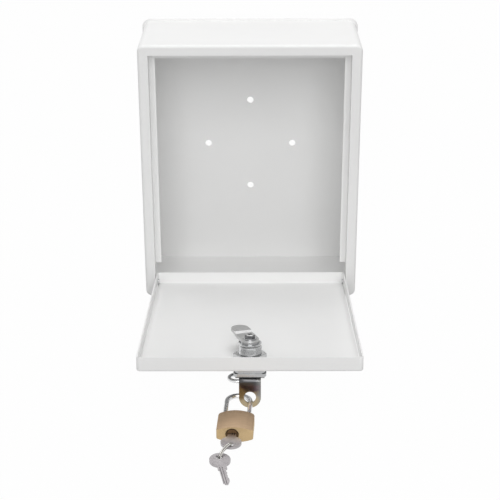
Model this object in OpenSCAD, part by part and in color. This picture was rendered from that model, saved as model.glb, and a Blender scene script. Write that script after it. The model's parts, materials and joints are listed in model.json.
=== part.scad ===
// Lockable metal donation box: a sheet-metal case with a bottom-hinged tray door,
// a padlock latch and a brass padlock with two keys.
// Rest position: door open and propped on the latch tab, padlock lying on the table.

/* [Box] */
// Outside width of the case
box_w = 204; // [170:1:260]
// Outside height of the case
box_h = 250; // [200:1:320]
// Outside depth of the case
box_d = 94; // [80:1:140]
// Thickness of the folded sheet
sheet = 1.2; // [0.8:0.1:1.6]
// Corner radius of the case, seen from the front
corner_r = 6; // [4:0.5:10]
// Bend radius where the case folds into the front frame
fold_r = 2.6; // [2:0.1:3.6]

/* [Front frame] */
// Width of the front frame beside and above the door
frame_w = 9.5; // [7:0.5:16]
// Height of the sill below the door
sill_h = 6; // [4:0.5:12]
// Width of the stop strip that the door closes on
stop_w = 5.5; // [3:0.5:9]
// Height above the table at which the side stops end
stop_foot = 31; // [26:1:45]

/* [Back plate] */
// How far the back plate stands out past the case
rim = 2.2; // [1:0.1:4]
// Thickness of the back plate
back_t = 1.5; // [1:0.1:2.5]
// Diameter of the wall screw holes
screw_hole_d = 6.4; // [4:0.1:8]
// Distance between the left and right screw holes
screw_span_x = 84; // [50:1:120]
// Distance between the upper and lower screw holes
screw_span_z = 90; // [50:1:120]
// Height of the middle of the hole pattern
screw_mid_z = 126; // [100:1:150]

/* [Door] */
// Depth of the door's folded edge
flange_h = 12; // [9:0.5:16]
// Gap between door and frame
door_gap = 0.8; // [0.6:0.1:1.5]
// Angle that the door has swung out from closed
door_open = 82.5; // [70:0.5:85]

/* [Hinge] */
// Hinge axis behind the door's outer face
axis_in = 4.5; // [4.2:0.1:6]
// Hinge axis above the door's lower edge
axis_up = 6.8; // [6:0.1:9]
// Diameter of the hinge pins
pin_d = 4; // [3:0.1:4.4]
// Radial clearance of turning fits
fit = 0.05; // [0.02:0.01:0.1]

/* [Latch] */
// Lock axis below the door's free edge
lock_drop = 26.5; // [25:0.5:32]
// Diameter of the threaded barrel
barrel_d = 18.8; // [16:0.1:22]
// Height of the barrel end above the door's outer face
barrel_end = 14; // [12:0.5:16]
// Width across flats of the barrel nut
nut_af = 24; // [22:0.5:27]
// Thickness of the barrel nut
nut_h = 5; // [3:0.5:7]
// Side of the square latch housing
head_w = 27; // [24:0.5:32]
// Thickness of the latch housing outside the door
head_h = 8.5; // [5:0.5:10]
// Thickness of the rubber gasket
gasket_t = 2; // [1:0.5:3]
// Width of the padlock tab
tab_w = 18; // [14:0.5:20]
// Thickness of the tab plate
tab_t = 2; // [1.5:0.1:2.5]
// Diameter of the padlock hole in the tab
tab_hole_d = 10; // [8:0.5:11]
// Diameter of the turning spindle
spindle_d = 8; // [6:0.5:9]
// Length of the cam from the lock axis
cam_reach = 32; // [30:0.5:34]
// Width of the cam
cam_w = 15; // [12:0.5:17]
// Thickness of the cam
cam_t = 2.2; // [2:0.1:3]
// How far the cam steps up, away from the door
cam_crank = 1.2; // [0:0.1:2.4]
// Angle between the cam and its locked direction
cam_angle = 160; // [120:1:175]
// Wire diameter of the turn ring
ring_wire = 3.2; // [2.4:0.1:3.4]
// Outside width of the turn ring
ring_w = 19.4; // [18:0.1:20]
// Angle from the cam round to the folded turn ring
ring_ahead = 70; // [20:1:80]
// Angle that the turn ring is folded over
ring_fold = 88; // [60:1:90]

/* [Padlock] */
// Width of the padlock body
lock_w = 29; // [27:0.5:34]
// Height of the padlock body along its shackle
lock_h = 26; // [24:0.5:32]
// Thickness of the padlock body at its middle
lock_t = 13.5; // [12.5:0.5:16]
// Thickness of the padlock body at its sides
lock_side_t = 7.6; // [6:0.2:11]
// Diameter of the shackle
shackle_d = 4.2; // [3.6:0.1:4.6]
// Distance between the shackle's legs, centre to centre
shackle_span = 19.3; // [19:0.1:20]
// Clear height under the closed shackle
shackle_clear = 21; // [15:0.5:24]
// How far the opened shackle has risen
shackle_lift = 11; // [9:0.5:12]
// Diameter of the key plug
plug_d = 9.5; // [8:0.1:9.8]
// Plug's distance from the body's middle
plug_shift = 2; // [0:0.1:2.2]

/* [Keys] */
// Diameter of the key's round bow
bow_d = 16.4; // [14:0.2:19]
// Thickness of the key
key_t = 1.9; // [1.5:0.1:2.4]
// Width of the key's blade
blade_w = 5.6; // [5:0.1:7]
// Length of the key's blade
blade_l = 18; // [15:0.5:18.5]
// Diameter of the hole in the bow
bow_hole_d = 5; // [4:0.1:6]
// Wire diameter of the key link
link_wire = 1.3; // [1:0.1:1.4]

/* [Hidden] */
$fn = 64;
eps = 0.01;

// Case
front_y = -box_d / 2;
back_y = box_d / 2;
open_half = box_w / 2 - frame_w;
open_top = box_h - frame_w;
inner_fold = fold_r - sheet;

// Door, in its closed place: x across, y in from its outer face, z up from its lower edge
door_half = open_half - door_gap;
door_h = open_top - sill_h - 2 * door_gap;
door_bend = 0.4;
door_inner_corner = 2.2;
door_fold = door_bend + sheet;
door_corner = door_inner_corner + sheet;
axis_y = front_y + axis_in;
axis_z = sill_h + door_gap + axis_up;
stop_gap = 0.3;
stop_y = front_y + flange_h + stop_gap;

// Hinge pins
pin_head_d = pin_d + 1.6;
pin_head_t = 1.4;
pin_side_play = 0.15;

// Latch, in the door's closed place
lock_z = door_h - lock_drop;
barrel_bore_d = spindle_d + 2 * fit;
head_bottom = -(gasket_t + head_h);
head_r = 3.5;
head_band = 3.2;
head_step = 0.9;
plate_bottom = head_bottom - tab_t;
tab_face = head_w / 2;
bend_r = 2.3;
running_gap = 0.2;
stop_washer_t = 1.2;
stop_washer_d = barrel_d + 0.4;
neck_w = 5.6;
cam_root = 16.4;
spacer_d = 15.4;
screw_d = 4;
screw_l = 7;
screw_af = 7.2;
screw_head_h = 3;
screw_turn = 40;
washer_d = 10.4;
washer_t = 0.9;
boss_d = 12;
boss_h = 5.4;
boss_top = plate_bottom - running_gap;
ring_pivot = boss_top - boss_h / 2;
ring_pin_d = 2.4;
ring_r = (ring_w - ring_wire) / 2;
ring_leg = 9.2;

// Places on the open door, in the room
function room_y(up, in) = axis_y + (in - axis_in) * cos(door_open) - (up - axis_up) * sin(door_open);
function room_z(up, in) = axis_z + (in - axis_in) * sin(door_open) + (up - axis_up) * cos(door_open);

// The tab reaches the table when the door is open
table_play = 0.1;
tab_inner_z = lock_z + tab_face - tab_t;
tab_reach = (room_z(tab_inner_z, 0) - table_play) / sin(door_open);
tab_end_r = tab_w / 2;
tab_hole_y = -(tab_reach - tab_end_r);

// Padlock: x across, y towards the crown of the shackle, z up, origin on its rear face
lock_mid_z = lock_t / 2;
shackle_r = shackle_span / 2;
crown_y = shackle_clear + shackle_d / 2 - shackle_r + shackle_lift;
crown_ahead = 3.6;
crown_aside = 9.3;
lock_yaw = -3;
dome = 1;
face_corner = 1.2;
shoulder_r = 3.6;
leg_hole_d = shackle_d + 2 * fit;
heel_depth = 21;
toe_depth = 13;
tip_gap = 0.5;
notch_depth = 1.6;
notch_w = 3.8;
notch_y = 4.2;
bolt_d = 3.2;
bolt_l = 5;
bolt_play = 0.2;
bolt_back = shackle_r - leg_hole_d / 2 - bolt_l - 2 * bolt_play;
plug_l = 19;
plug_bore_d = plug_d + 2 * fit;
keyway_play = 0.1;

// Keys: x across, y along the blade towards its tip, z up, origin at the bow's middle
bow_front_gap = 3.5;
bow_seat = 0.2;
bow_hole_back = 3.3;
shoulder_w = 7;

// Link between the keys, from the first bow's hole to the second's
link_half = (key_t + 2.5 + link_wire) / 2;
link_past = 0.4;
link_rise = 0.75;
link_turn = -121;
link_dip = 14.7;
link_span = 15.6;
link_l = link_span / cos(link_dip) + 2 * link_past - 2 * link_half;
spare_z = link_rise - link_span * tan(link_dip) + 0.15;
spare_turn = 195;
spare_dip = 4;

// ---- Shared shapes ----

// Rectangle with round corners, made of true arcs
module round_rect(w, h, r) {
    square([w - 2 * r, h], center = true);
    square([w, h - 2 * r], center = true);
    for (sx = [-1, 1], sy = [-1, 1])
        translate([sx * (w / 2 - r), sy * (h / 2 - r)])
            circle(r = r);
}

// Slab from z = 0 to z = depth whose lower outer edge is rounded by f
module soft_slab(w, h, r, f, depth) {
    translate([0, 0, f])
        linear_extrude(depth - f)
            round_rect(w, h, r);
    linear_extrude(f + eps)
        round_rect(w - 2 * f, h - 2 * f, r - f);
    for (side = [-1, 1]) {
        translate([side * (w / 2 - f), 0, f])
            rotate([90, 0, 0])
                cylinder(r = f, h = h - 2 * r, center = true);
        translate([0, side * (h / 2 - f), f])
            rotate([0, 90, 0])
                cylinder(r = f, h = w - 2 * r, center = true);
    }
    for (sx = [-1, 1], sy = [-1, 1])
        translate([sx * (w / 2 - r), sy * (h / 2 - r), f])
            rotate_extrude()
                intersection() {
                    translate([r - f, 0])
                        circle(r = f);
                    translate([0, -f])
                        square([r, 2 * f]);
                }
}

// Turns a shape drawn on XY with depth along Z to face along +Y, standing on XZ
module face_back() {
    rotate([-90, 0, 0])
        mirror([0, 1, 0])
            children();
}

// Puts a shape drawn on the closed door at the open door's place
module on_door() {
    translate([0, axis_y, axis_z])
        rotate([door_open, 0, 0])
            translate([0, -axis_in, -axis_up])
                children();
}

// Puts a shape with its axis on Z at the lock axis; +Z points into the box
module on_lock() {
    on_door()
        translate([0, 0, lock_z])
            rotate([-90, 0, 0])
                children();
}

// Puts a shape on the padlock lying on the table
module on_padlock() {
    translate([-crown_aside, room_y(lock_z + tab_face - tab_t / 2, tab_hole_y) - crown_ahead, lock_mid_z])
        rotate([0, 0, lock_yaw])
            translate([0, -crown_y, 0])
                children();
}

// ---- Case ----

module case() {
    color("whitesmoke")
    difference() {
        translate([0, front_y, box_h / 2])
            face_back()
                soft_slab(box_w, box_h, corner_r, fold_r, box_d - back_t);
        translate([0, front_y + sheet, box_h / 2])
            face_back()
                soft_slab(box_w - 2 * sheet, box_h - 2 * sheet, corner_r - sheet, inner_fold, box_d);
        translate([-open_half, front_y - 1, sill_h])
            cube([2 * open_half, sheet + 2, open_top - sill_h]);
    }
}

module back_plate() {
    plate_h = box_h + rim;
    plate_r = corner_r + rim;
    color("whitesmoke")
    difference() {
        translate([0, back_y - back_t, plate_h / 2])
            face_back()
                linear_extrude(back_t)
                    union() {
                        round_rect(box_w + 2 * rim, plate_h, plate_r);
                        for (side = [-1, 1])
                            translate([side * (box_w / 2 + rim - plate_r), -plate_h / 2 + plate_r / 2])
                                square([plate_r, plate_r], center = true);
                    }
        for (a = [0:90:270])
            translate([cos(a) * screw_span_x / 2, back_y - back_t - 1, screw_mid_z + sin(a) * screw_span_z / 2])
                face_back()
                    cylinder(d = screw_hole_d, h = back_t + 2);
    }
}

// Cross-section of a jamb whose far corner is bent over
module stop_bend(jamb) {
    square([sheet, jamb]);
    translate([0, jamb])
        intersection() {
            circle(r = sheet);
            square(sheet);
        }
}

// Jamb behind the frame's edge, carrying the hinge pin, and the narrow face that the door closes on
module side_stop(side) {
    jamb = stop_y - front_y - sheet;
    color("gainsboro")
    mirror([side < 0 ? 1 : 0, 0, 0])
        difference() {
            translate([open_half, front_y + sheet, sill_h]) {
                linear_extrude(open_top - sill_h)
                    stop_bend(jamb);
                translate([-stop_w, jamb, stop_foot - sill_h])
                    cube([stop_w + eps, sheet, open_top - stop_foot]);
            }
            translate([open_half - 1, axis_y, axis_z])
                rotate([0, 90, 0])
                    cylinder(d = pin_d, h = sheet + 2);
        }
}

module stop_top() {
    jamb = stop_y - front_y - sheet;
    color("gainsboro")
    union() {
        translate([-open_half, front_y + sheet, open_top])
            rotate([90, 0, 90])
                linear_extrude(2 * open_half)
                    mirror([1, -1, 0])
                        stop_bend(jamb);
        translate([stop_w - open_half, stop_y, open_top - stop_w])
            cube([2 * (open_half - stop_w), sheet, stop_w + eps]);
    }
}

// ---- Door ----

module door() {
    color("whitesmoke")
    on_door()
        difference() {
            translate([0, 0, door_h / 2])
                face_back()
                    soft_slab(2 * door_half, door_h, door_corner, door_fold, flange_h);
            translate([0, sheet, door_h / 2])
                face_back()
                    soft_slab(2 * (door_half - sheet), door_h - 2 * sheet, door_inner_corner, door_bend, flange_h);
            translate([0, -1, lock_z])
                face_back()
                    cylinder(d = barrel_d, h = sheet + 2);
            for (side = [-1, 1])
                translate([side * (door_half - sheet / 2), axis_in, axis_up])
                    rotate([0, 90, 0])
                        cylinder(d = pin_d + 2 * fit, h = 2 * sheet + 1, center = true);
        }
}

module hinge_pin(side) {
    shank = open_half + sheet - (door_half - sheet - pin_side_play);
    color("silver")
    translate([side * (door_half - sheet - pin_side_play), axis_y, axis_z])
        rotate([0, side * 90, 0]) {
            cylinder(d = pin_d, h = shank + eps);
            translate([0, 0, -pin_head_t])
                cylinder(d1 = pin_head_d - 1, d2 = pin_head_d, h = pin_head_t + eps);
            translate([0, 0, shank])
                cylinder(d1 = pin_head_d, d2 = pin_head_d - 1, h = pin_head_t);
        }
}

// ---- Latch ----

module latch_gasket() {
    color("dimgray")
    on_lock()
        translate([0, 0, -gasket_t])
            linear_extrude(gasket_t)
                difference() {
                    round_rect(head_w - 2 * head_step, head_w - 2 * head_step, head_r);
                    circle(d = barrel_d);
                }
}

module latch_housing() {
    color("silver")
    on_lock()
        difference() {
            union() {
                translate([0, 0, head_bottom])
                    soft_slab(head_w, head_w, head_r, 1, head_band);
                translate([0, 0, head_bottom])
                    linear_extrude(head_h)
                        round_rect(head_w - 2 * head_step, head_w - 2 * head_step, head_r);
                translate([0, 0, -gasket_t])
                    cylinder(d = barrel_d, h = gasket_t + barrel_end - 0.8);
                translate([0, 0, barrel_end - 0.8])
                    cylinder(d1 = barrel_d, d2 = barrel_d - 1.6, h = 0.8);
            }
            translate([0, 0, head_bottom - 1])
                cylinder(d = barrel_bore_d, h = barrel_end - head_bottom + 2);
        }
}

module latch_tab() {
    flat_l = tab_face - bend_r - tab_t;
    bend_top = plate_bottom - bend_r;
    color("silver")
    on_lock()
        difference() {
            union() {
                translate([0, 0, plate_bottom])
                    linear_extrude(tab_t)
                        intersection() {
                            round_rect(head_w - 3, head_w - 3, head_r);
                            translate([-head_w / 2, -flat_l])
                                square([head_w, flat_l + head_w / 2]);
                        }
                translate([0, -flat_l, bend_top])
                    rotate([0, 90, 0])
                        rotate([0, 0, 180])
                            rotate_extrude(angle = 90)
                                translate([bend_r, -tab_w / 2])
                                    square([tab_t, tab_w]);
                translate([0, tab_t - tab_face, 0])
                    rotate([90, 0, 0])
                        linear_extrude(tab_t) {
                            translate([-tab_w / 2, tab_hole_y])
                                square([tab_w, bend_top - tab_hole_y]);
                            translate([0, tab_hole_y])
                                circle(r = tab_end_r);
                        }
            }
            translate([0, 0, plate_bottom - 1])
                cylinder(d = spindle_d + 0.8, h = tab_t + 2);
            translate([0, 1 - tab_face + tab_t, tab_hole_y])
                rotate([90, 0, 0])
                    cylinder(d = tab_hole_d, h = tab_t + 2);
        }
}

module latch_nut() {
    corners = nut_af / cos(30);
    color("darkgray")
    on_lock()
        translate([0, 0, sheet])
            difference() {
                intersection() {
                    cylinder(d = corners, h = nut_h, $fn = 6);
                    union() {
                        cylinder(d = corners + 1, h = nut_h - 1);
                        translate([0, 0, nut_h - 1])
                            cylinder(d1 = corners + 1, d2 = nut_af - 0.6, h = 1);
                    }
                }
                translate([0, 0, -1])
                    cylinder(d = barrel_d, h = nut_h + 2);
            }
}

// Puts a shape on the turning spindle, whose locked direction is -Y
module on_spindle() {
    on_lock()
        rotate([0, 0, -cam_angle])
            children();
}

module latch_spindle() {
    neck_from = barrel_end + running_gap;
    cam_top = cam_root + cam_t;
    bore_depth = screw_l + 1;
    color("gray")
    on_spindle()
        difference() {
            union() {
                translate([0, 0, boss_top - eps])
                    cylinder(d = spindle_d, h = neck_from - boss_top + eps);
                translate([-neck_w / 2, -neck_w / 2, neck_from - eps])
                    cube([neck_w, neck_w, cam_top - neck_from + eps]);
                translate([0, 0, boss_top - boss_h + 0.8])
                    cylinder(d = boss_d, h = boss_h - 0.8);
                translate([0, 0, boss_top - boss_h])
                    cylinder(d1 = boss_d - 1.6, d2 = boss_d, h = 0.8);
            }
            translate([0, 0, cam_top - bore_depth])
                cylinder(d = screw_d, h = bore_depth + 1);
            translate([0, 0, ring_pivot])
                rotate([0, 90, ring_ahead])
                    cylinder(d = ring_pin_d + 2 * fit, h = boss_d + 2, center = true);
        }
}

// Bent wire ring whose two ends turn in the spindle's cross hole
module turn_ring() {
    pin_l = ring_r - boss_d / 2 + 2.4;
    color("lightgray")
    on_spindle()
        translate([0, 0, ring_pivot])
            rotate([-ring_fold, 0, ring_ahead]) {
                for (side = [-1, 1]) {
                    translate([side * ring_r, 0, -ring_leg])
                        cylinder(d = ring_wire, h = ring_leg);
                    translate([side * ring_r, 0, 0])
                        sphere(d = ring_wire);
                    translate([side * (ring_r - pin_l / 2), 0, 0])
                        rotate([0, 90, 0])
                            cylinder(d = ring_pin_d, h = pin_l, center = true);
                }
                translate([0, 0, -ring_leg])
                    rotate([-90, 0, 0])
                        rotate_extrude(angle = 180)
                            translate([ring_r, 0])
                                circle(d = ring_wire);
            }
}

// Washer that turns with the spindle's square neck
module square_washer(d, h) {
    difference() {
        cylinder(d = d, h = h);
        translate([-neck_w / 2, -neck_w / 2, -1])
            cube([neck_w, neck_w, h + 2]);
    }
}

module stop_washer() {
    color("silver")
    on_spindle()
        translate([0, 0, barrel_end + running_gap])
            square_washer(stop_washer_d, stop_washer_t);
}

module cam_spacer() {
    base = barrel_end + running_gap + stop_washer_t;
    color("dimgray")
    on_spindle()
        translate([0, 0, base])
            square_washer(spacer_d, cam_root - base);
}

module cam() {
    tip = cam_root + cam_crank;
    step_in = cam_w / 2 + 7.5;
    step_out = step_in + 3;
    color("lightgray")
    on_spindle()
        difference() {
            intersection() {
                rotate([90, 0, -90])
                    translate([0, 0, -cam_w / 2])
                        linear_extrude(cam_w)
                            polygon([
                                [-cam_w / 2, cam_root],
                                [step_in, cam_root],
                                [step_out, tip],
                                [cam_reach, tip],
                                [cam_reach, tip + cam_t],
                                [step_out - 0.6, tip + cam_t],
                                [step_in - 0.6, cam_root + cam_t],
                                [-cam_w / 2, cam_root + cam_t]
                            ]);
                linear_extrude(tip + cam_t + 1) {
                    circle(d = cam_w);
                    translate([-cam_w / 2, cam_w / 2 - cam_reach])
                        square([cam_w, cam_reach - cam_w / 2]);
                    translate([0, cam_w / 2 - cam_reach])
                        circle(d = cam_w);
                }
            }
            translate([-neck_w / 2, -neck_w / 2, cam_root - 1])
                cube([neck_w, neck_w, cam_t + 2]);
        }
}

module cam_washer() {
    color("silver")
    on_spindle()
        translate([0, 0, cam_root + cam_t])
            difference() {
                cylinder(d = washer_d, h = washer_t);
                translate([0, 0, -1])
                    cylinder(d = screw_d, h = washer_t + 2);
            }
}

// Hexagon-headed screw with a cross recess
module cam_screw() {
    seat = cam_root + cam_t + washer_t;
    corners = screw_af / cos(30);
    color("silver")
    on_spindle()
        difference() {
            union() {
                translate([0, 0, seat])
                    intersection() {
                        rotate([0, 0, screw_turn])
                            cylinder(d = corners, h = screw_head_h, $fn = 6);
                        union() {
                            cylinder(d = corners + 1, h = screw_head_h - 0.7);
                            translate([0, 0, screw_head_h - 0.7])
                                cylinder(d1 = corners + 1, d2 = screw_af - 0.8, h = 0.7);
                        }
                    }
                translate([0, 0, seat - washer_t - screw_l])
                    cylinder(d = screw_d, h = washer_t + screw_l + eps);
            }
            for (turn = [0, 90])
                translate([0, 0, seat + screw_head_h])
                    rotate([0, 0, screw_turn + turn])
                        cube([4.4, 1, 2], center = true);
        }
}

// ---- Padlock ----

// Plan of the body: small radius at the key face, rounded shoulders and a domed edge at the shackle
module lock_plan() {
    dome_r = (lock_w * lock_w / 4 + dome * dome) / (2 * dome);
    intersection() {
        translate([0, -dome_r])
            circle(r = dome_r, $fn = 180);
        union() {
            translate([-lock_w / 2, face_corner - lock_h])
                square([lock_w, lock_h - face_corner - shoulder_r]);
            translate([face_corner - lock_w / 2, -lock_h])
                square([lock_w - 2 * face_corner, face_corner + 1]);
            translate([shoulder_r - lock_w / 2, -lock_h / 2])
                square([lock_w - 2 * shoulder_r, lock_h / 2]);
            for (side = [-1, 1]) {
                translate([side * (lock_w / 2 - face_corner), face_corner - lock_h])
                    circle(r = face_corner);
                translate([side * (lock_w / 2 - shoulder_r), -shoulder_r])
                    circle(r = shoulder_r);
            }
        }
    }
}

// Brass body, convex on both wide faces
module padlock_body() {
    swell = (lock_t - lock_side_t) / 2;
    face_r = (lock_w * lock_w / 4 + swell * swell) / (2 * swell);
    color("goldenrod")
    on_padlock()
        difference() {
            intersection() {
                rotate([90, 0, 0])
                    linear_extrude(lock_h)
                        intersection() {
                            translate([0, lock_t / 2 - face_r])
                                circle(r = face_r, $fn = 180);
                            translate([0, face_r - lock_t / 2])
                                circle(r = face_r, $fn = 180);
                            square([lock_w, lock_t], center = true);
                        }
                translate([0, 0, -lock_t])
                    linear_extrude(2 * lock_t)
                        lock_plan();
            }
            translate([-shackle_r, -heel_depth, 0])
                rotate([-90, 0, 0])
                    cylinder(d = leg_hole_d, h = heel_depth + 1);
            translate([shackle_r, -toe_depth, 0])
                rotate([-90, 0, 0])
                    cylinder(d = leg_hole_d, h = toe_depth + 1);
            translate([-plug_shift, -lock_h - 1, 0])
                rotate([-90, 0, 0])
                    cylinder(d = plug_bore_d, h = plug_l + 1);
            translate([-plug_shift, -lock_h - 1, 0])
                rotate([-90, 0, 0])
                    cylinder(d1 = plug_bore_d + 3.6, d2 = plug_bore_d, h = 1.6);
            translate([bolt_back, -notch_y, 0])
                rotate([0, 90, 0])
                    cylinder(d = bolt_d + 2 * fit, h = shackle_r - bolt_back);
        }
}

// Round bar bent to a bow: the longer heel leg stays in the body, the toe leg has the bolt's notch
module shackle() {
    heel_l = crown_y + heel_depth - shackle_lift - tip_gap;
    toe_l = crown_y + toe_depth - shackle_lift - tip_gap;
    color("silver")
    on_padlock()
        difference() {
            union() {
                translate([-shackle_r, crown_y - heel_l, 0])
                    rotate([-90, 0, 0])
                        cylinder(d = shackle_d, h = heel_l);
                translate([shackle_r, crown_y - toe_l, 0])
                    rotate([-90, 0, 0])
                        cylinder(d = shackle_d, h = toe_l);
                translate([0, crown_y, 0])
                    rotate_extrude(angle = 180)
                        translate([shackle_r, 0])
                            circle(d = shackle_d);
            }
            translate([shackle_r - shackle_d / 2 - 1, shackle_lift - notch_y - notch_w / 2, -shackle_d])
                cube([notch_depth + 1, notch_w, 2 * shackle_d]);
        }
}

module locking_bolt() {
    color("gold")
    on_padlock()
        translate([bolt_back + bolt_play, -notch_y, 0])
            rotate([0, 90, 0])
                cylinder(d = bolt_d, h = bolt_l);
}

module key_plug() {
    color("darkgoldenrod")
    on_padlock()
        translate([-plug_shift, -lock_h, 0])
            difference() {
                rotate([-90, 0, 0])
                    cylinder(d = plug_d, h = plug_l);
                translate([-blade_w / 2 - keyway_play, -1, -key_t / 2 - keyway_play])
                    cube([blade_w + 2 * keyway_play, blade_l + 1.4, key_t + 2 * keyway_play]);
            }
}

// ---- Keys ----

// Depth of each cut in the blade's edge
function cut_depth(i) = [1.4, 0.8, 1.6, 1.1][i];

// Flat key with a round bow; its blade points along +Y
module key_blank() {
    blade_from = bow_d / 2 + bow_front_gap;
    tip_y = blade_from + blade_l;
    difference() {
        translate([0, 0, -key_t / 2])
            linear_extrude(key_t) {
                circle(d = bow_d);
                translate([-shoulder_w / 2, 0])
                    square([shoulder_w, blade_from - bow_seat]);
                polygon([
                    [-blade_w / 2, 0],
                    [blade_w / 2, 0],
                    [blade_w / 2, tip_y - blade_w / 2],
                    [blade_w / 8, tip_y],
                    [-blade_w / 8, tip_y],
                    [-blade_w / 2, tip_y - blade_w / 3]
                ]);
            }
        translate([0, -bow_hole_back, -key_t])
            cylinder(d = bow_hole_d, h = 2 * key_t);
        for (i = [0:3])
            translate([blade_w / 2 + 1 - cut_depth(i), tip_y - 4.6 - 3.1 * i, -key_t])
                rotate([0, 0, -45])
                    cube([4, 4, 2 * key_t]);
        for (face = [-1, 1])
            translate([-blade_w / 4, blade_from + 0.5, face * key_t / 2 - 0.3])
                cube([1, blade_l, 0.6]);
    }
}

// Puts a shape at the middle of the first key's bow
module on_key() {
    on_padlock()
        translate([-plug_shift, -lock_h - bow_front_gap - bow_d / 2, 0])
            children();
}

module key() {
    color("lightsteelblue")
    on_key()
        key_blank();
}

// Long narrow wire link standing on edge through both bows
module key_link() {
    color("gainsboro")
    on_key()
        translate([0, -bow_hole_back, link_rise])
            rotate([90, link_dip, link_turn])
                translate([link_half - link_past, 0, 0]) {
                    for (side = [-1, 1])
                        translate([0, side * link_half, 0])
                            rotate([0, 90, 0])
                                cylinder(d = link_wire, h = link_l);
                    rotate([0, 0, 90])
                        rotate_extrude(angle = 180)
                            translate([link_half, 0])
                                circle(d = link_wire);
                    translate([link_l, 0, 0])
                        rotate([0, 0, -90])
                            rotate_extrude(angle = 180)
                                translate([link_half, 0])
                                    circle(d = link_wire);
                }
}

module spare_key() {
    color("lightsteelblue")
    on_key()
        translate([link_span * cos(link_turn), link_span * sin(link_turn) - bow_hole_back, spare_z])
            rotate([-spare_dip, 0, spare_turn])
                translate([0, bow_hole_back, 0])
                    key_blank();
}

case();
back_plate();
side_stop(-1);  // stop_left
side_stop(1);  // stop_right
stop_top();
hinge_pin(-1);  // hinge_pin_left
hinge_pin(1);  // hinge_pin_right
door();
latch_gasket();
latch_housing();
latch_tab();
latch_nut();
latch_spindle();
turn_ring();
stop_washer();
cam_spacer();
cam();
cam_washer();
cam_screw();
padlock_body();
shackle();
locking_bolt();
key_plug();
key();
key_link();
spare_key();
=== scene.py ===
"""Dresses a lockable sheet-metal donation box: powder coat, cam latch, padlock, keys and a pale studio."""

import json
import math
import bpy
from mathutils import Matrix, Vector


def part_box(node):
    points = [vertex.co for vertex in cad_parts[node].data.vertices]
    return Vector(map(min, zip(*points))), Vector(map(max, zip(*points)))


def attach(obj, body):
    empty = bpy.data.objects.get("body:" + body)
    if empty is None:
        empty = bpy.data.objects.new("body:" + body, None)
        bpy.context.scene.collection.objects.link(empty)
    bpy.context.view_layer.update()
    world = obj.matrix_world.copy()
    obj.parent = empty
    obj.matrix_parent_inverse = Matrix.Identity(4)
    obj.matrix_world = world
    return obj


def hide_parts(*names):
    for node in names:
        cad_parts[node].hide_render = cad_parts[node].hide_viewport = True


bl_info = {
    "name": "Donation box",
    "version": (1, 0, 0),
    "blender": (4, 5, 0),
    "location": "View3D > Sidebar > Donation box",
    "description": "Finishes, latch thread, milled keys and studio for a lockable sheet-metal donation box",
    "category": "Object",
}

import bmesh
import bpy
from bpy.props import FloatProperty, FloatVectorProperty, PointerProperty
from mathutils import Matrix, Vector
from mathutils.geometry import tessellate_polygon

MM = 0.001

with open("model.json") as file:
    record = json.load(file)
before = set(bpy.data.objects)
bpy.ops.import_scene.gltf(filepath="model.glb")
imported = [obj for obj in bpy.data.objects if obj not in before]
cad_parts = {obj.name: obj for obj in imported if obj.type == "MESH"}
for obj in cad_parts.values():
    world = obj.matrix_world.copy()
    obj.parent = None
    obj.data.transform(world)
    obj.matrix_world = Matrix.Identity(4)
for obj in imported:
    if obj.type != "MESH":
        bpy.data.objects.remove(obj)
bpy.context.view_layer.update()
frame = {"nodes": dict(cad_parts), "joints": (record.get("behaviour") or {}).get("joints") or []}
joints = {joint["name"]: joint for joint in frame["joints"]}

COATED = ("case", "back_plate", "stop_left", "stop_right", "stop_top", "door")
LOCK_AXIS = Vector(joints["cam_turn"]["axis"]).normalized()
LOCK_POINT = Vector(joints["cam_turn"]["pos_m"])

# Case in mm: sheet thickness, outer radius of its folds and of its corners; and the facets of a fold
SHEET = 1.2
FOLD = 2.6
CORNER = 6
FOLD_STEPS = 12
# Edges that turn by more than this, in degrees, are sharp
SHARP = 35

# Padlock tab, painted reflections: heights where the grey painted reflection at the bend turns into film and
# where the gold painted reflection of the padlock ends, places where the grey painted reflection on the
# right edge starts and is full, and how far these limits wander
TAB_PAINTED_BEND_FADE = (19 * MM, 21 * MM)
TAB_PAINTED_GOLD_FADE = (12 * MM, 17 * MM)
TAB_PAINTED_EDGE_FADE = (5 * MM, 8.5 * MM)
TAB_WANDER = 2 * MM
# How much higher the gold painted reflection reaches for each step to the left
TAB_SLOPE = 0.35

# Barrel thread: points in a turn, and in mm how much smaller than the washer the barrel is and how far the
# ridge is sunk in it
THREAD_STEPS = 48
WASHER_PLAY = 0.2
THREAD_SUNK = 0.12
# Half width of the ridge's foot as a share of the pitch, and of its crest as a share of the foot
THREAD_FOOT = 0.42
THREAD_CREST = 0.22

# How the keys and their link lie, in degrees
LOCK_YAW = -3
SPARE_TURN = 195
SPARE_DIP = 4
LINK_TURN = -121
LINK_DIP = 14.7

# Key in mm, from the bow's middle: half width of its shoulders, place of the bow's hole, groove width and
# depth, place of the rib, and run of the grooves
SHOULDER = 3.5
HOLE_BACK = -3.3
GROOVE = 0.5
GROOVE_DEEP = 0.5
RIB_AT = 1.1
GROOVE_RUN = (9.5, 32)
# The blade's outline from one shoulder to the other, across and from the bow's edge, in mm
BLADE = ((SHOULDER, 3.2), (2.3, 3.6), (2.3, 5.2), (1.3, 6.2), (1.3, 6.9), (2.4, 8.0), (2.4, 8.8), (1.0, 10.2),
         (1.0, 11.0), (2.1, 12.1), (2.1, 12.8), (1.4, 13.5), (1.4, 14.2), (2.5, 15.3), (2.5, 18.0),
         (0.7, 21.4), (-0.7, 21.4), (-2.6, 19.4), (-2.6, 3.6), (-SHOULDER, 3.2))
# Points round the bow and round its hole
BOW_STEPS = 60
HOLE_STEPS = 32

# Link: wire thickness of its solid in mm, place of each turn as a share of the wire, points along a side and
# round an end
SOLID_WIRE = 1.3
TURN_PLACE = 0.51
SIDE_STEPS = 24
END_STEPS = 16

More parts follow.
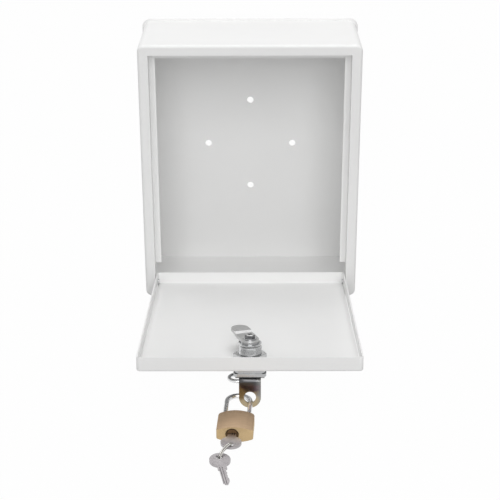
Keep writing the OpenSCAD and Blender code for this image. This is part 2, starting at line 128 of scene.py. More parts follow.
# Studio in metres: half the floor's side, how far it lies below the box, the point that the lamps face, and
# the size and place of each lamp
FLOOR_HALF = 8.0
FLOOR_DROP = 0.05 * MM
LAMP_TARGET = Vector((0, -0.05, 0.12))
LAMPS = (("front", 3.4, (0.1, -4.0, 2.4)), ("above", 2.0, (0.1, 0.0, 2.2)), ("behind", 2.2, (-3.2, 2.4, 1.5)))


# ---- Materials ----


class Shader:
    """Builds one material's node tree from the surface shader backwards."""

    def __init__(self, name, color, metallic, roughness):
        self.material = bpy.data.materials.new(name)
        self.material.use_nodes = True
        self.nodes = self.material.node_tree.nodes
        self.links = self.material.node_tree.links
        self.surface = self.nodes["Principled BSDF"]
        self.surface.inputs["Base Color"].default_value = (*color, 1)
        self.surface.inputs["Metallic"].default_value = metallic
        self.surface.inputs["Roughness"].default_value = roughness
        coordinates = self.nodes.new("ShaderNodeTexCoord")
        self.place = coordinates.outputs["Object"]
        self.facing = coordinates.outputs["Normal"]
        self.normal = None

    def stretched(self, stretch, turn=(0, 0, 0)):
        """Coordinates turned and stretched, for a grain that runs one way."""
        turned = self.nodes.new("ShaderNodeMapping")
        turned.inputs["Rotation"].default_value = [math.radians(a) for a in turn]
        self.links.new(self.place, turned.inputs["Vector"])
        scaled = self.nodes.new("ShaderNodeMapping")
        scaled.inputs["Scale"].default_value = stretch
        self.links.new(turned.outputs["Vector"], scaled.inputs["Vector"])
        return scaled.outputs["Vector"]

    def noise(self, scale, detail=2.0, place=None):
        """Cloudy noise from 0 to 1; a larger scale is finer."""
        node = self.nodes.new("ShaderNodeTexNoise")
        node.inputs["Scale"].default_value = scale
        node.inputs["Detail"].default_value = detail
        self.links.new(place or self.place, node.inputs["Vector"])
        return node.outputs["Fac"]

    def part(self, vector, axis):
        """One part of a place or a direction."""
        node = self.nodes.new("ShaderNodeSeparateXYZ")
        self.links.new(vector, node.inputs["Vector"])
        return node.outputs[axis]

    def math(self, operation, first, second=0.0):
        """Works out one sum on values that vary over the surface."""
        node = self.nodes.new("ShaderNodeMath")
        node.operation = operation
        for socket, value in zip(node.inputs, (first, second)):
            if hasattr(value, "is_output"):
                self.links.new(value, socket)
            else:
                socket.default_value = value
        return node.outputs["Value"]

    def spread(self, value, low, high, start=0.3, end=0.7):
        """Maps a value that runs from start to end to the range low to high."""
        node = self.nodes.new("ShaderNodeMapRange")
        node.inputs["From Min"].default_value = start
        node.inputs["From Max"].default_value = end
        node.inputs["To Min"].default_value = low
        node.inputs["To Max"].default_value = high
        self.links.new(value, node.inputs["Value"])
        return node.outputs["Result"]

    def mix_color(self, value, first, second):
        """Fades from the first colour to the second as a value goes from 0 to 1."""
        node = self.nodes.new("ShaderNodeMix")
        node.data_type = "RGBA"
        self.links.new(value, node.inputs["Factor"])
        for name, color in (("A", first), ("B", second)):
            socket = next(s for s in node.inputs if s.name == name and s.type == "RGBA")
            if hasattr(color, "is_output"):
                self.links.new(color, socket)
            else:
                socket.default_value = (*color, 1)
        return next(s for s in node.outputs if s.type == "RGBA")

    def painted_crevice_shade(self, value, reach, depth):
        """Paints shade into a colour where surfaces meet, over reach in mm and down to depth."""
        node = self.nodes.new("ShaderNodeAmbientOcclusion")
        node.samples = 8
        node.inputs["Distance"].default_value = reach * MM
        open_share = self.spread(node.outputs["AO"], depth, 1, 0.25, 0.85)
        grey = self.nodes.new("ShaderNodeCombineXYZ")
        for socket in grey.inputs:
            self.links.new(open_share, socket)
        scaled = self.nodes.new("ShaderNodeVectorMath")
        scaled.operation = "MULTIPLY"
        self.links.new(value, scaled.inputs[0])
        self.links.new(grey.outputs["Vector"], scaled.inputs[1])
        return scaled.outputs["Vector"]

    def color(self, value):
        """Takes the surface's colour from a varying value."""
        self.links.new(value, self.surface.inputs["Base Color"])

    def roughness(self, value):
        """Takes the surface's roughness from a varying value."""
        self.links.new(value, self.surface.inputs["Roughness"])

    def bump(self, height, strength, depth):
        """Adds a bump; several may follow each other."""
        node = self.nodes.new("ShaderNodeBump")
        node.inputs["Strength"].default_value = strength
        node.inputs["Distance"].default_value = depth
        self.links.new(height, node.inputs["Height"])
        if self.normal:
            self.links.new(self.normal, node.inputs["Normal"])
        self.normal = node.outputs["Normal"]
        self.links.new(self.normal, self.surface.inputs["Normal"])


def shade(color, factor):
    """A colour made darker or lighter."""
    return tuple(min(1.0, c * factor) for c in color)


def powder_coat(color):
    """Baked powder: a fine pebbled skin with a slow waviness."""
    coat = Shader("powder_coat", color, metallic=0.0, roughness=0.4)
    patches = coat.spread(coat.noise(scale=9.0), 0, 1)
    coat.color(coat.mix_color(patches, shade(color, 0.985), shade(color, 1.01)))
    coat.roughness(coat.spread(coat.noise(scale=60.0), 0.34, 0.46))
    coat.bump(coat.noise(scale=45.0, detail=1.0), strength=0.06, depth=1.2 * MM)
    coat.bump(coat.noise(scale=1100.0), strength=0.22, depth=0.08 * MM)
    return coat.material


def finish_metal(metal, color, gloss, grain=(1, 1, 1), turn=(0, 0, 0), depth=0.01):
    """Adds lines along one way, depth mm deep, roughness between two values, and painted shade in the
    corners.
    """
    lines = metal.noise(scale=900.0, detail=3.0, place=metal.stretched(grain, turn))
    # Painted shade: the colour is darkened where surfaces meet and in recesses.
    metal.color(metal.painted_crevice_shade(color, reach=1.5, depth=0.2))
    metal.roughness(metal.spread(lines, *gloss))
    metal.bump(lines, strength=0.25, depth=depth * MM)
    return metal.material


def plated(name, color, gloss, grain=(1, 1, 1), turn=(0, 0, 0), depth=0.01):
    """Plated or brushed metal."""
    metal = Shader(name, color, metallic=1.0, roughness=sum(gloss) / 2)
    smears = metal.spread(metal.noise(scale=130.0, detail=3.0), 0, 1)
    tint = metal.mix_color(smears, shade(color, 0.92), shade(color, 1.05))
    return finish_metal(metal, tint, gloss, grain, turn, depth)


def passivated_painted_reflections(film_and_painted_dark, painted_gold, painted_bend_grey, painted_edge_grey):
    """Steel with a violet film over painted reflections: grey at the bend, dark above, gold low on the left,
    grey right edge.
    """
    metal = Shader("passivated_steel", film_and_painted_dark, metallic=1.0, roughness=0.16)
    height = metal.part(metal.place, "Z")
    aside = metal.part(metal.place, "X")
    wander = metal.spread(metal.noise(scale=160.0), -TAB_WANDER, TAB_WANDER)
    smears = metal.spread(metal.noise(scale=240.0, detail=3.0), 0, 1)
    violet = metal.mix_color(smears, film_and_painted_dark, (film_and_painted_dark[0] * 1.5, film_and_painted_dark[1] * 1.2, film_and_painted_dark[2] * 1.35))
    # Painted reflections: grey at the bend, the brass padlock's gold low on the left and grey on the right
    # edge; the film's dark colour is a painted dark reflection too.
    bend = metal.spread(metal.math("ADD", height, metal.math("MULTIPLY", wander, 0.3)), 0, 1, *TAB_PAINTED_BEND_FADE)
    film_and_painted_bend = metal.mix_color(bend, violet, painted_bend_grey)
    slope = metal.math("MULTIPLY", aside, TAB_SLOPE)
    low = metal.math("ADD", metal.math("ADD", height, slope), wander)
    tint = metal.mix_color(metal.spread(low, 1, 0, *TAB_PAINTED_GOLD_FADE), film_and_painted_bend, painted_gold)
    edge = metal.spread(metal.math("ADD", aside, metal.math("MULTIPLY", wander, 0.5)), 0, 0.7, *TAB_PAINTED_EDGE_FADE)
    tint = metal.mix_color(edge, tint, painted_edge_grey)
    return finish_metal(metal, tint, gloss=(0.1, 0.24), grain=(5, 1, 0.2), depth=0.005)


def painted_reflection_screw(top, side):
    """A screw whose faces along the lock's axis keep the metal's colour and whose flats are darkened as a
    painted dark reflection.
    """
    metal = Shader("blackened_screw", side, metallic=1.0, roughness=0.25)
    dot = metal.nodes.new("ShaderNodeVectorMath")
    dot.operation = "DOT_PRODUCT"
    metal.links.new(metal.facing, dot.inputs[0])
    dot.inputs[1].default_value = LOCK_AXIS
    # Painted reflection: the flats, facing away from the axis, are coloured dark.
    flatness = metal.math("ABSOLUTE", dot.outputs["Value"])
    tint = metal.mix_color(metal.spread(flatness, 0, 1, start=0.3, end=0.6), side, top)
    return finish_metal(metal, tint, gloss=(0.16, 0.3), depth=0.006)


def two_way_brass(wide, end):
    """Brass whose wide faces are cross-brushed and paler than its machined edges."""
    metal = Shader("brushed_brass", wide, metallic=1.0, roughness=0.5)
    flatness = metal.math("ABSOLUTE", metal.part(metal.facing, "Z"))
    smears = metal.spread(metal.noise(scale=90.0, detail=3.0, place=metal.stretched((1, 6, 1))), 0, 1)
    wide_tint = metal.mix_color(smears, shade(wide, 0.94), shade(wide, 1.04))
    end_tint = metal.mix_color(smears, shade(end, 0.94), shade(end, 1.04))
    tint = metal.mix_color(metal.spread(flatness, 0, 1, start=0.6, end=0.8), end_tint, wide_tint)
    return finish_metal(metal, tint, gloss=(0.55, 0.72), grain=(1, 9, 1), depth=0.02)


def rubber(color):
    """Matt black rubber with a fine grain."""
    skin = Shader("gasket_rubber", color, metallic=0.0, roughness=0.72)
    patches = skin.spread(skin.noise(scale=240.0), 0, 1)
    skin.color(skin.mix_color(patches, shade(color, 0.8), shade(color, 1.3)))
    skin.bump(skin.noise(scale=1600.0, detail=3.0), strength=0.3, depth=0.05 * MM)
    return skin.material


def seen_ray(nodes, links):
    """1 for rays from the camera, or by way of a mirror or glass, and 0 for light that falls on things."""
    path = nodes.new("ShaderNodeLightPath")
    seen = path.outputs["Is Camera Ray"]
    for name in ("Is Glossy Ray", "Is Transmission Ray"):
        both = nodes.new("ShaderNodeMath")
        both.operation = "MAXIMUM"
        links.new(seen, both.inputs[0])
        links.new(path.outputs[name], both.inputs[1])
        seen = both.outputs["Value"]
    return seen


def dress(names, material):
    """Gives CAD nodes a finish."""
    for name in names:
        data = frame["nodes"][name].data
        if not data.materials:
            data.materials.append(material)
        for i in range(len(data.materials)):
            data.materials[i] = material


def soften(names, width, segments=2):
    """Breaks the sharp edges of CAD nodes or new pieces by a small width in mm."""
    for name in names:
        node = frame["nodes"].get(name) or bpy.data.objects[name]
        weld = node.modifiers.new("weld", "WELD")
        weld.merge_threshold = 0.001 * MM
        edge = node.modifiers.new("broken_edges", "BEVEL")
        edge.width = width * MM
        edge.segments = segments
        edge.limit_method = "ANGLE"
        edge.angle_limit = math.radians(SHARP)
        edge.harden_normals = True


# ---- Placing ----


def turned(*steps):
    """A rotation built from (degrees, axis) steps, outermost first."""
    spin = Matrix.Identity(3)
    for degrees, axis in steps:
        spin = spin @ Matrix.Rotation(math.radians(degrees), 3, axis)
    return spin


def node_reach(name, direction):
    """The lowest and highest place of a CAD node along a direction."""
    places = [direction.dot(vertex.co) for vertex in frame["nodes"][name].data.vertices]
    return min(places), max(places)


def own_place(name, spin, back=None):
    """A matrix at the middle of a CAD node, or at back mm from its low end along its y axis."""
    reach = [node_reach(name, spin.col[i].copy()) for i in range(3)]
    middle = [(low + high) / 2 for low, high in reach]
    if back is not None:
        middle[1] = reach[1][0] + back * MM
    return Matrix.Translation(spin @ Vector(middle)) @ spin.to_4x4()


def add_piece(name, mesh, material, place):
    """Turns a bmesh in mm into an object at a place."""
    bmesh.ops.recalc_face_normals(mesh, faces=mesh.faces)
    data = bpy.data.meshes.new(name)
    mesh.to_mesh(data)
    mesh.free()
    data.transform(place @ Matrix.Scale(MM, 4))
    data.materials.append(bpy.data.materials[material])
    piece = bpy.data.objects.new(name, data)
    bpy.context.scene.collection.objects.link(piece)
    return piece


def band(mesh, near, far):
    """Joins two rings of vertices with faces."""
    for i in range(len(near)):
        j = (i + 1) % len(near)
        mesh.faces.new((near[i], near[j], far[j], far[i]))


def plate(outline, hole, thickness):
    """A flat plate with one hole, as a bmesh in mm."""
    mesh = bmesh.new()
    loops = []
    for height in (-thickness / 2, thickness / 2):
        rings = [[Vector((x, y, height)) for x, y in ring] for ring in (outline, hole)]
        verts = [mesh.verts.new(point) for ring in rings for point in ring]
        for face in tessellate_polygon(rings):
            mesh.faces.new([verts[i] for i in face])
        loops.append((verts[:len(outline)], verts[len(outline):]))
    for low, high in zip(*loops):
        band(mesh, low, high)
    return mesh


def wire_loop(path, radius, sides=12):
    """A closed round wire along a path of points, as a bmesh in mm."""
    mesh = bmesh.new()
    rings = []
    for i, point in enumerate(path):
        ahead = (path[(i + 1) % len(path)] - path[i - 1]).normalized()
        out = ahead.cross(Vector((0, 0, 1))).normalized()
        up = out.cross(ahead)
        rings.append([mesh.verts.new(point + radius * (out * math.cos(a) + up * math.sin(a)))
                      for a in (2 * math.pi * k / sides for k in range(sides))])
    for near, far in zip(rings, rings[1:] + rings[:1]):
        band(mesh, near, far)
    for face in mesh.faces:
        face.smooth = True
    return mesh


# ---- Settings ----


class FinishSettings(bpy.types.PropertyGroup):
    """Colours of the box, its latch, padlock and keys"""

    coat: FloatVectorProperty(name="Powder coat", description="Colour of the baked coat", subtype="COLOR",
                              default=(0.89, 0.89, 0.885))
    zinc: FloatVectorProperty(name="Zinc", description="Colour of the zinc-plated parts", subtype="COLOR",
                              default=(0.62, 0.625, 0.63))
    cam: FloatVectorProperty(name="Cam", description="Colour of the stamped cam", subtype="COLOR",
                             default=(0.5, 0.5, 0.5))
    housing: FloatVectorProperty(name="Lock housing", description="Colour of the lock's housing and barrel",
                                 subtype="COLOR", default=(0.46, 0.465, 0.47))
    chrome: FloatVectorProperty(name="Chrome", description="Colour of the turn ring and spindle",
                                subtype="COLOR", default=(0.78, 0.785, 0.79))
    # Padlock tab: a violet film darkened as a painted reflection, and painted reflections in gold, at the
    # bend and on the right edge.
    tab_film_painted_dark: FloatVectorProperty(name="Tab film", description="Colour of the padlock tab near its bend",
                                  subtype="COLOR", default=(0.085, 0.072, 0.074))
    tab_painted_gold: FloatVectorProperty(name="Tab gold", description="Colour of the padlock tab at its free end",
                                  subtype="COLOR", default=(0.42, 0.34, 0.22))
    tab_painted_bend_grey: FloatVectorProperty(name="Tab bend", description="Colour of the padlock tab at its bend",
                                  subtype="COLOR", default=(0.085, 0.085, 0.088))
    tab_painted_edge_grey: FloatVectorProperty(name="Tab edge", description="Colour of the padlock tab at its right edge",
                                  subtype="COLOR", default=(0.3, 0.3, 0.29))
    brass: FloatVectorProperty(name="Brass faces", description="Colour of the padlock's wide faces",
                               subtype="COLOR", default=(0.41, 0.3, 0.2))
    brass_end: FloatVectorProperty(name="Brass edges", subtype="COLOR", default=(0.53, 0.4, 0.23),
                                   description="Colour of the padlock's edges and key face")
    # Key plug and bolt: brass darkened as painted shade of the bow and the deep recess.
    plug: FloatVectorProperty(name="Key plug", description="Colour of the key plug", subtype="COLOR",
                              default=(0.1, 0.06, 0.03))
    # The cam screw's flats: a painted dark reflection.
    screw_flat_painted_dark: FloatVectorProperty(name="Screw flats", subtype="COLOR", default=(0.12, 0.12, 0.125),
                                    description="Colour of the cam screw's blackened flats")
    shackle: FloatVectorProperty(name="Shackle", description="Colour of the hardened shackle",
                                 subtype="COLOR", default=(0.8, 0.8, 0.805))
    nickel: FloatVectorProperty(name="Nickel", description="Colour of the keys", subtype="COLOR",
                                default=(0.44, 0.42, 0.43))
    wire: FloatVectorProperty(name="Link wire", description="Colour of the wire link", subtype="COLOR",
                              default=(0.42, 0.41, 0.39))
    rubber: FloatVectorProperty(name="Rubber", description="Colour of the latch gasket", subtype="COLOR",
                                default=(0.03, 0.03, 0.032))


class ThreadSettings(bpy.types.PropertyGroup):
    """Sizes of the lock barrel's thread"""

    pitch: FloatProperty(name="Pitch", description="Distance between the thread's crests", default=1.0 * MM,
                         unit="LENGTH")
    ridge: FloatProperty(name="Ridge height", description="Height of the thread's crests", default=0.28 * MM,
                         unit="LENGTH")
    start: FloatProperty(name="Start", description="Where the thread starts above the door", default=6.4 * MM,
                         unit="LENGTH")
    end: FloatProperty(name="End", description="Where the thread ends above the door", default=13.0 * MM,
                       unit="LENGTH")


class KeySettings(bpy.types.PropertyGroup):
    """Sizes of the keys and their link"""

    bow: FloatProperty(name="Bow", description="Diameter of a key's bow", default=16.4 * MM, unit="LENGTH")
    hole: FloatProperty(name="Bow hole", description="Diameter of the hole in the bow", default=5.0 * MM,
                        unit="LENGTH")
    thick: FloatProperty(name="Thickness", description="Thickness of a key", default=1.9 * MM, unit="LENGTH")
    rib: FloatProperty(name="Rib", description="Width of the rib that runs down the blade", default=1.3 * MM,
                       unit="LENGTH")
    wire: FloatProperty(name="Link wire", description="Diameter of the link's doubled wire",
                        default=1.15 * MM, unit="LENGTH")
    lean: FloatProperty(name="Link lean", description="How far the link leans to the back",
                        default=math.radians(33.0), subtype="ANGLE")
    bend: FloatProperty(name="Link bend", description="How far the link is bent aside", default=1.5 * MM,
                        unit="LENGTH")


class StageSettings(bpy.types.PropertyGroup):
    """Floor, light and camera"""

    floor: FloatProperty(name="Floor", description="How much light the floor throws back", default=0.5,
                         subtype="FACTOR", min=0, max=1)
    white: FloatProperty(name="Whiteness", description="How far the floor is seen as plain white",
                         default=0.985, subtype="FACTOR", min=0, max=1)
    sky: FloatProperty(name="Fill", description="Strength of the light from all round", default=0.28)
    front: FloatProperty(name="Front lamp", description="Power of the lamp in front", default=98.0,
                         unit="POWER")
    above: FloatProperty(name="Overhead lamp", description="Power of the lamp above", default=24.0,
                         unit="POWER")
    behind: FloatProperty(name="Rear lamp", description="Power of the lamp behind", default=20.0,
                          unit="POWER")
    place: FloatVectorProperty(name="Camera", description="Place of the camera", subtype="TRANSLATION",
                               default=(3.84 * MM, -1160.99 * MM, 538.16 * MM), precision=5)
    down: FloatProperty(name="Down", description="How far the camera looks down", subtype="ANGLE",
                        default=math.radians(23.70))
    aside: FloatProperty(name="Aside", description="How far the camera turns to the left", subtype="ANGLE",
                         default=math.radians(0.2184))
    tilt: FloatProperty(name="Tilt", description="How far the camera leans to the left", subtype="ANGLE",
                        default=math.radians(-0.1748))
    lens: FloatProperty(name="Lens", description="Focal length on a 36 mm frame", default=91.02,
                        unit="CAMERA")


# ---- Operators ----


class DONATION_OT_coat(bpy.types.Operator):
    """Powder-coats the case, back plate, stop strips and door, and closes the case's right front fold"""

    bl_idname = "donation.coat"
    bl_label = "Powder-coated sheet"

    def execute(self, context):
        dress(COATED, powder_coat(context.scene.donation_finish.coat))
        soften(("back_plate", "door"), 0.25)
        self.fold()
        return {"FINISHED"}

    def fold(self):
        """Bends the strip of sheet that closes the right front edge, which the case's solid leaves open."""
        low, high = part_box("case")
        middle_x, middle_y = high.x / MM - FOLD, low.y / MM + FOLD
        arc = [math.radians(-90 + 90 * i / FOLD_STEPS) for i in range(FOLD_STEPS + 1)]
        section = [(middle_x + radius * math.cos(a), middle_y + radius * math.sin(a))
                   for radius, run in ((FOLD, arc), (FOLD - SHEET, arc[::-1])) for a in run]
        mesh = bmesh.new()
        ends = [[mesh.verts.new((x, y, z)) for x, y in section]
                for z in (low.z / MM + CORNER, high.z / MM - CORNER)]
        band(mesh, *ends)
        for end in ends:
            mesh.faces.new(end)
        piece = add_piece("case_fold", mesh, "powder_coat", Matrix.Identity(4))
        for face in piece.data.polygons:
            face.use_smooth = len(face.vertices) == 4
        piece.data.set_sharp_from_angle(angle=math.radians(SHARP))
        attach(piece, "box")


class DONATION_OT_latch(bpy.types.Operator):
    """Finishes the hinge pins and the cam latch"""

    bl_idname = "donation.latch"
    bl_label = "Latch and hinge pins"

    def execute(self, context):
        finish = context.scene.donation_finish
        zinc = plated("bright_zinc", finish.zinc, gloss=(0.14, 0.3))
        housing = plated("lock_housing", finish.housing, gloss=(0.12, 0.26), depth=0.006)
        chrome = plated("polished_chrome", finish.chrome, gloss=(0.22, 0.34), depth=0.004)
        cam = plated("stamped_zinc", finish.cam, gloss=(0.24, 0.42), grain=(6, 0.25, 1), turn=(0, 0, -20))
        tab = passivated_painted_reflections(finish.tab_film_painted_dark, finish.tab_painted_gold, finish.tab_painted_bend_grey, finish.tab_painted_edge_grey)
        dress(("hinge_pin_left", "hinge_pin_right", "latch_nut", "stop_washer", "cam_washer"), zinc)
        dress(("latch_housing", "cam_spacer"), housing)
        dress(("cam_screw",), painted_reflection_screw(finish.cam, finish.screw_flat_painted_dark))
        dress(("latch_spindle", "turn_ring"), chrome)
        dress(("cam",), cam)
        dress(("latch_tab",), tab)
        dress(("latch_gasket",), rubber(finish.rubber))
        soften(("latch_tab", "cam", "latch_gasket"), 0.25)
        return {"FINISHED"}


class DONATION_OT_thread(bpy.types.Operator):
    """Cuts the barrel's thread as a ridge that winds up the lock axis"""

    bl_idname = "donation.thread"
    bl_label = "Barrel thread"

    def execute(self, context):
        settings = context.scene.donation_thread
        pitch, start = settings.pitch / MM, settings.start / MM
        low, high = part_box("stop_washer")
        radius = (high.x - low.x) / 2 / MM - WASHER_PLAY
        count = int((settings.end - settings.start) / settings.pitch * THREAD_STEPS)
        foot = pitch * THREAD_FOOT
        crest = foot * THREAD_CREST
        mesh = bmesh.new()
        rings = []
        for i in range(count + 1):
            turn = 2 * math.pi * i / THREAD_STEPS
            rise = start + pitch * i / THREAD_STEPS
            fade = min(1, i / THREAD_STEPS, (count - i) / THREAD_STEPS)
            inside, outside = radius - THREAD_SUNK, radius + settings.ridge / MM * fade
            profile = ((inside, -foot), (outside, -crest), (outside, crest), (inside, foot))
            rings.append([mesh.verts.new((out * math.cos(turn), out * math.sin(turn), rise + up))
                          for out, up in profile])
        for near, far in zip(rings, rings[1:]):
            band(mesh, near, far)
        mesh.faces.new(rings[0])
        mesh.faces.new(rings[-1][::-1])
        across = Vector((1, 0, 0))
        spin = Matrix((across, LOCK_AXIS.cross(across), LOCK_AXIS)).transposed()
        place = Matrix.Translation(LOCK_POINT) @ spin.to_4x4()
        thread = add_piece("barrel_thread", mesh, "lock_housing", place)
        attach(thread, "door")
        return {"FINISHED"}


class DONATION_OT_padlock(bpy.types.Operator):
    """Finishes the padlock's body, shackle, plug and bolt"""

    bl_idname = "donation.padlock"
    bl_label = "Padlock"

    def execute(self, context):
        finish = context.scene.donation_finish
        # Painted shade: the plug and bolt are darkened for the shadow of the bow and the recess.
        plug = plated("turned_brass", finish.plug, gloss=(0.2, 0.4))
        steel = plated("hardened_steel", finish.shackle, gloss=(0.16, 0.3), depth=0.004)
        dress(("padlock_body",), two_way_brass(finish.brass, finish.brass_end))
        dress(("key_plug", "locking_bolt"), plug)
        dress(("shackle",), steel)
        soften(("padlock_body",), 0.35, 3)
        return {"FINISHED"}


class DONATION_OT_keys(bpy.types.Operator):
    """Mills the two keys and winds the link between them"""

    bl_idname = "donation.keys"
    bl_label = "Keys"

    def execute(self, context):
        finish = context.scene.donation_finish
        settings = context.scene.donation_keys
        plated("nickel_silver", finish.nickel, gloss=(0.3, 0.42), depth=0.006)
        plated("bright_wire", finish.wire, gloss=(0.16, 0.3), depth=0.004)
        self.key(settings, "key", turned((LOCK_YAW, "Z")))
        self.key(settings, "spare_key", turned((LOCK_YAW + SPARE_TURN, "Z"), (-SPARE_DIP, "X")))
        self.link(settings)
        return {"FINISHED"}

    def key(self, settings, name, spin):
        """Mills a key: a round bow with its hole, shoulders, and a blade with cuts and a rib."""
        bow, hole = settings.bow / MM / 2, settings.hole / MM / 2
        thick, rib = settings.thick / MM, settings.rib / MM
        neck = math.asin(SHOULDER / bow)
        arc = [neck + 2 * (math.pi - neck) * i / BOW_STEPS for i in range(BOW_STEPS + 1)]
        outline = [(bow * math.sin(a), bow * math.cos(a)) for a in arc]
        outline += [(-x, bow + y) for x, y in BLADE]
        rim = [2 * math.pi * i / HOLE_STEPS for i in range(HOLE_STEPS)]
        opening = [(hole * math.cos(a), HOLE_BACK - hole * math.sin(a)) for a in rim]
        place = own_place(name, spin, bow)
        piece = add_piece("milled_" + name, plate(outline, opening, thick), "nickel_silver", place)
        for face in (-1, 1):
            for side in (-1, 1):
                self.groove(piece, place, side * (rib + GROOVE) / 2 + RIB_AT, face * thick / 2)
        soften((piece.name,), 0.12)
        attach(piece, name)
        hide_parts(name)

    def groove(self, piece, place, aside, height):
        """Cuts one groove down the blade."""
        cutter = bmesh.new()
        start, end = GROOVE_RUN
        middle = Matrix.Translation((aside, (start + end) / 2, height))
        size = Matrix.Diagonal((GROOVE, end - start, 2 * GROOVE_DEEP, 1))
        bmesh.ops.create_cube(cutter, size=1.0, matrix=middle @ size)
        tool = add_piece("groove_cutter", cutter, "nickel_silver", place)
        cut = piece.modifiers.new("groove", "BOOLEAN")
        cut.object = tool
        cut.solver = "EXACT"
        bpy.context.view_layer.update()
        shape = bpy.data.meshes.new_from_object(piece.evaluated_get(bpy.context.evaluated_depsgraph_get()))
        piece.modifiers.clear()
        piece.data = shape
        bpy.data.objects.remove(tool)

    def link(self, settings):
        """Winds the link: two turns of wire side by side through both bows."""
        spin = turned((LOCK_YAW + LINK_TURN, "Z"), (LINK_DIP, "Y"), (90, "X"))
        place = own_place("key_link", spin) @ Matrix.Rotation(-settings.lean, 4, "X")
        length, height = [(high - low) / MM - SOLID_WIRE
                          for low, high in (node_reach("key_link", spin.col[i].copy()) for i in (0, 1))]
        straight, round_end = (length - height) / 2, height / 2
        half = [(straight - 2 * straight * i / SIDE_STEPS, round_end) for i in range(SIDE_STEPS + 1)]
        half += [(-straight + round_end * math.cos(a), round_end * math.sin(a))
                 for a in (math.pi / 2 + math.pi * i / END_STEPS for i in range(1, END_STEPS))]
        loop = half + [(-x, -y) for x, y in half]
        wire, bend = settings.wire / MM, settings.bend / MM
        for name, side in (("link_turn_left", -1), ("link_turn_right", 1)):
            path = [Vector((x, y, side * wire * TURN_PLACE + bend * math.cos(math.pi * x / length)))
                    for x, y in loop]
            piece = add_piece(name, wire_loop(path, wire / 2), "bright_wire", place)
            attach(piece, "link")
            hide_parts("key_link")


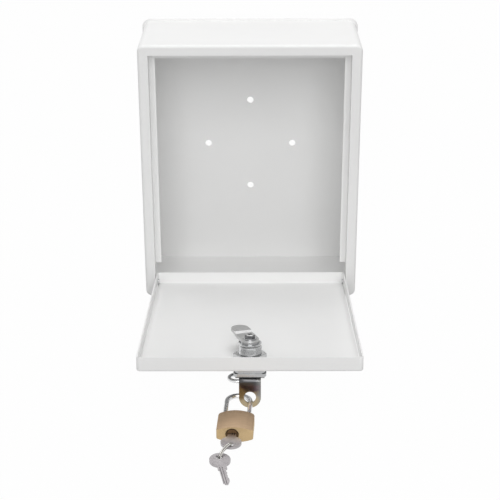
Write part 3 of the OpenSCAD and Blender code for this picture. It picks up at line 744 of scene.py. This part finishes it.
class DONATION_OT_stage(bpy.types.Operator):
    """Lays a pale floor, sets soft lamps and places the camera"""

    bl_idname = "donation.stage"
    bl_label = "Studio"

    def execute(self, context):
        settings = context.scene.donation_stage
        self.floor(context, settings)
        self.world(context, settings)
        self.lamps(context, settings)
        self.camera(context, settings)
        context.scene.view_settings.view_transform = "Standard"
        return {"FINISHED"}

    def floor(self, context, settings):
        """Lays a floor that is seen as white but keeps the box's shadow."""
        data = bpy.data.meshes.new("studio_floor")
        corners = [(x * FLOOR_HALF, y * FLOOR_HALF, -FLOOR_DROP)
                   for x, y in ((-1, -1), (1, -1), (1, 1), (-1, 1))]
        data.from_pydata(corners, [], [(0, 1, 2, 3)])
        material = bpy.data.materials.new("studio_floor")
        material.use_nodes = True
        nodes, links = material.node_tree.nodes, material.node_tree.links
        surface = nodes["Principled BSDF"]
        surface.inputs["Base Color"].default_value = (settings.floor, settings.floor, settings.floor, 1)
        surface.inputs["Roughness"].default_value = 0.9
        surface.inputs["Specular IOR Level"].default_value = 0.1
        plain = nodes.new("ShaderNodeEmission")
        share = nodes.new("ShaderNodeMath")
        share.operation = "MULTIPLY"
        share.inputs[1].default_value = settings.white
        links.new(seen_ray(nodes, links), share.inputs[0])
        blend = nodes.new("ShaderNodeMixShader")
        links.new(share.outputs["Value"], blend.inputs["Fac"])
        links.new(surface.outputs["BSDF"], blend.inputs[1])
        links.new(plain.outputs["Emission"], blend.inputs[2])
        links.new(blend.outputs["Shader"], nodes["Material Output"].inputs["Surface"])
        data.materials.append(material)
        floor = bpy.data.objects.new("studio_floor", data)
        context.scene.collection.objects.link(floor)

    def world(self, context, settings):
        """Lights the box from all round, behind a white surrounding."""
        world = bpy.data.worlds.new("studio")
        context.scene.world = world
        world.use_nodes = True
        nodes, links = world.node_tree.nodes, world.node_tree.links
        background = nodes["Background"]
        seen = seen_ray(nodes, links)
        strength = nodes.new("ShaderNodeMapRange")
        strength.inputs["To Min"].default_value = settings.sky
        strength.inputs["To Max"].default_value = 1.0
        links.new(seen, strength.inputs["Value"])
        links.new(strength.outputs["Result"], background.inputs["Strength"])
        background.inputs["Color"].default_value = (1, 1, 1, 1)

    def lamps(self, context, settings):
        """Sets the soft lamps round the box."""
        for name, size, place in LAMPS:
            data = bpy.data.lights.new(name, "AREA")
            data.energy = getattr(settings, name)
            data.size = size
            lamp = bpy.data.objects.new(name, data)
            lamp.location = place
            lamp.rotation_euler = (LAMP_TARGET - lamp.location).to_track_quat("-Z", "Y").to_euler()
            context.scene.collection.objects.link(lamp)

    def camera(self, context, settings):
        """Places the camera in front, looking down on the box."""
        data = bpy.data.cameras.new("camera")
        data.sensor_width = 36.0
        data.lens = settings.lens
        camera = bpy.data.objects.new("camera", data)
        turn = (Matrix.Rotation(settings.aside, 4, "Z")
                @ Matrix.Rotation(math.radians(90) - settings.down, 4, "X")
                @ Matrix.Rotation(settings.tilt, 4, "Z"))
        camera.matrix_world = Matrix.Translation(settings.place) @ turn
        context.scene.collection.objects.link(camera)
        context.scene.camera = camera


PIECES = (DONATION_OT_coat, DONATION_OT_latch, DONATION_OT_thread, DONATION_OT_padlock, DONATION_OT_keys,
          DONATION_OT_stage)


class DONATION_PT_panel(bpy.types.Panel):
    """Lists the box's finishes, pieces and studio"""

    bl_idname = "DONATION_PT_panel"
    bl_label = "Donation box"
    bl_space_type = "VIEW_3D"
    bl_region_type = "UI"
    bl_category = "Donation box"

    def draw(self, context):
        for group, _ in SETTINGS:
            settings = getattr(context.scene, group)
            box = self.layout.box()
            for name in settings.__annotations__:
                box.prop(settings, name)
        for piece in PIECES:
            self.layout.operator(piece.bl_idname)


SETTINGS = (("donation_finish", FinishSettings), ("donation_thread", ThreadSettings),
            ("donation_keys", KeySettings), ("donation_stage", StageSettings))


def register():
    for name, group in SETTINGS:
        bpy.utils.register_class(group)
        setattr(bpy.types.Scene, name, PointerProperty(type=group))
    for cls in (*PIECES, DONATION_PT_panel):
        bpy.utils.register_class(cls)


def unregister():
    for cls in (DONATION_PT_panel, *reversed(PIECES)):
        bpy.utils.unregister_class(cls)
    for name, group in reversed(SETTINGS):
        delattr(bpy.types.Scene, name)
        bpy.utils.unregister_class(group)


def main():
    """Dresses the box, one operator after the other."""
    register()
    for piece in PIECES:
        group, name = piece.bl_idname.split(".")
        getattr(getattr(bpy.ops, group), name)()


if __name__ == "__main__":
    main()
